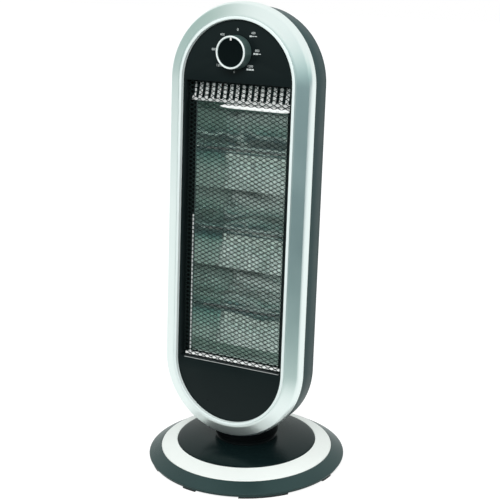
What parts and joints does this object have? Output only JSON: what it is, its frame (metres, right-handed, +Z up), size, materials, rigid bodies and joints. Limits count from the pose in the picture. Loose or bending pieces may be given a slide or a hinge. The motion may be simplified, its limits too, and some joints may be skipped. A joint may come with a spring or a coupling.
{
  "type": "halogen heater",
  "caption": "Upright halogen heater with a round-ended swinging head, mesh guard, mirror reflector, rotary knob and round weighted base.",
  "frame": {"origin": "middle of the base on the floor, under the swing axis", "axes": "+Z up; the grille faces -Y, so +Y is the back; +X is to the right of someone facing the grille; the head leans back by 4 degrees"},
  "size_m": [0.26, 0.26, 0.5995],
  "materials": {
    "silver_plastic": "smooth silver paint, satin",
    "grey_gloss_plastic": "gloss, dark green-grey",
    "black_gloss_plastic": "gloss black",
    "black_plastic": "satin black",
    "white_plastic": "satin white",
    "cream_plastic": "satin cream",
    "red_plastic": "satin red",
    "red_sleeve": "woven glass sleeve, dull red-brown",
    "black_rubber": "matt black",
    "cast_iron": "rough cast, dark grey",
    "dark_steel": "dark grey paint",
    "black_steel": "matt black paint",
    "zinc_steel": "zinc plated",
    "galvanised_steel": "galvanised sheet",
    "dark_mesh": "expanded metal, dark",
    "mirror_aluminium": "bright rolled mirror",
    "knob_chrome": "bright silver",
    "quartz_glass": "clear quartz",
    "filament_wire": "dull tungsten",
    "white_ceramic": "glazed white ceramic"
  },
  "bodies": {
    "base": {"base_plate": "dark_steel", "base_weight": "cast_iron", "base_cover": "grey_gloss_plastic", "base_ring": "silver_plastic", "feet": "black_rubber", "base_screws": "zinc_steel", "pivot_tube": "zinc_steel", "thrust_washer": "white_plastic", "pivot_nut": "zinc_steel", "swing_gear": "white_plastic", "swing_stop": "zinc_steel", "cord_gland": "black_rubber", "tip_switch": "black_plastic", "tip_spring": "zinc_steel"},
    "tip_plunger": {"tip_plunger": "red_plastic"},
    "head": {"neck_shroud": "black_gloss_plastic", "swing_bracket": "zinc_steel", "swing_bush": "white_plastic", "swing_motor": "zinc_steel", "motor_screws": "zinc_steel", "front_bezel": "silver_plastic", "front_panel": "black_plastic", "rear_cover": "grey_gloss_plastic", "cover_screws": "zinc_steel", "inner_frame": "black_steel", "guard_mesh": "dark_mesh", "guard_frame": "black_steel", "reflector": "mirror_aluminium", "heat_shield": "galvanised_steel", "shield_screws": "zinc_steel", "lamp_tube_top": "quartz_glass", "lamp_tube_middle": "quartz_glass", "lamp_tube_bottom": "quartz_glass", "filaments": "filament_wire", "lamp_caps": "white_ceramic", "lamp_rails": "galvanised_steel", "rotary_switch": "cream_plastic", "switch_nut": "zinc_steel", "thermal_cutout": "white_ceramic", "terminal_block": "cream_plastic", "wiring": "red_sleeve"},
    "knob": {"knob": "grey_gloss_plastic", "knob_ring": "knob_chrome", "knob_pointer": "white_plastic", "switch_shaft": "cream_plastic"},
    "drive_pinion": {"drive_pinion": "white_plastic"}
  },
  "joints": [
    {"name": "swing", "type": "hinge", "parent": "base", "child": "head", "pos_m": [0, 0, 0.04], "axis": [0, 0, 1], "range_deg": [-35, 35]},
    {"name": "pinion_spin", "type": "hinge", "parent": "head", "child": "drive_pinion", "pos_m": [0.036, 0, 0.08], "axis": [0, 0, 1], "range_deg": [-70.5, 70.5]},
    {"name": "knob_turn", "type": "hinge", "parent": "head", "child": "knob", "pos_m": [-0.0015, -0.02441, 0.54004], "axis": [0, -0.9976, 0.0698], "continuous": true},
    {"name": "tilt_slide", "type": "slide", "parent": "base", "child": "tip_plunger", "axis": [0, 0, -1], "range_m": [0, 0.005], "stiffness_N_per_m": 20, "springref_m": 0.006, "deforming": ["tip_spring"]}
  ],
  "couplings": [
    {"joint": "pinion_spin", "follows": "swing", "ratio": 2}
  ]
}
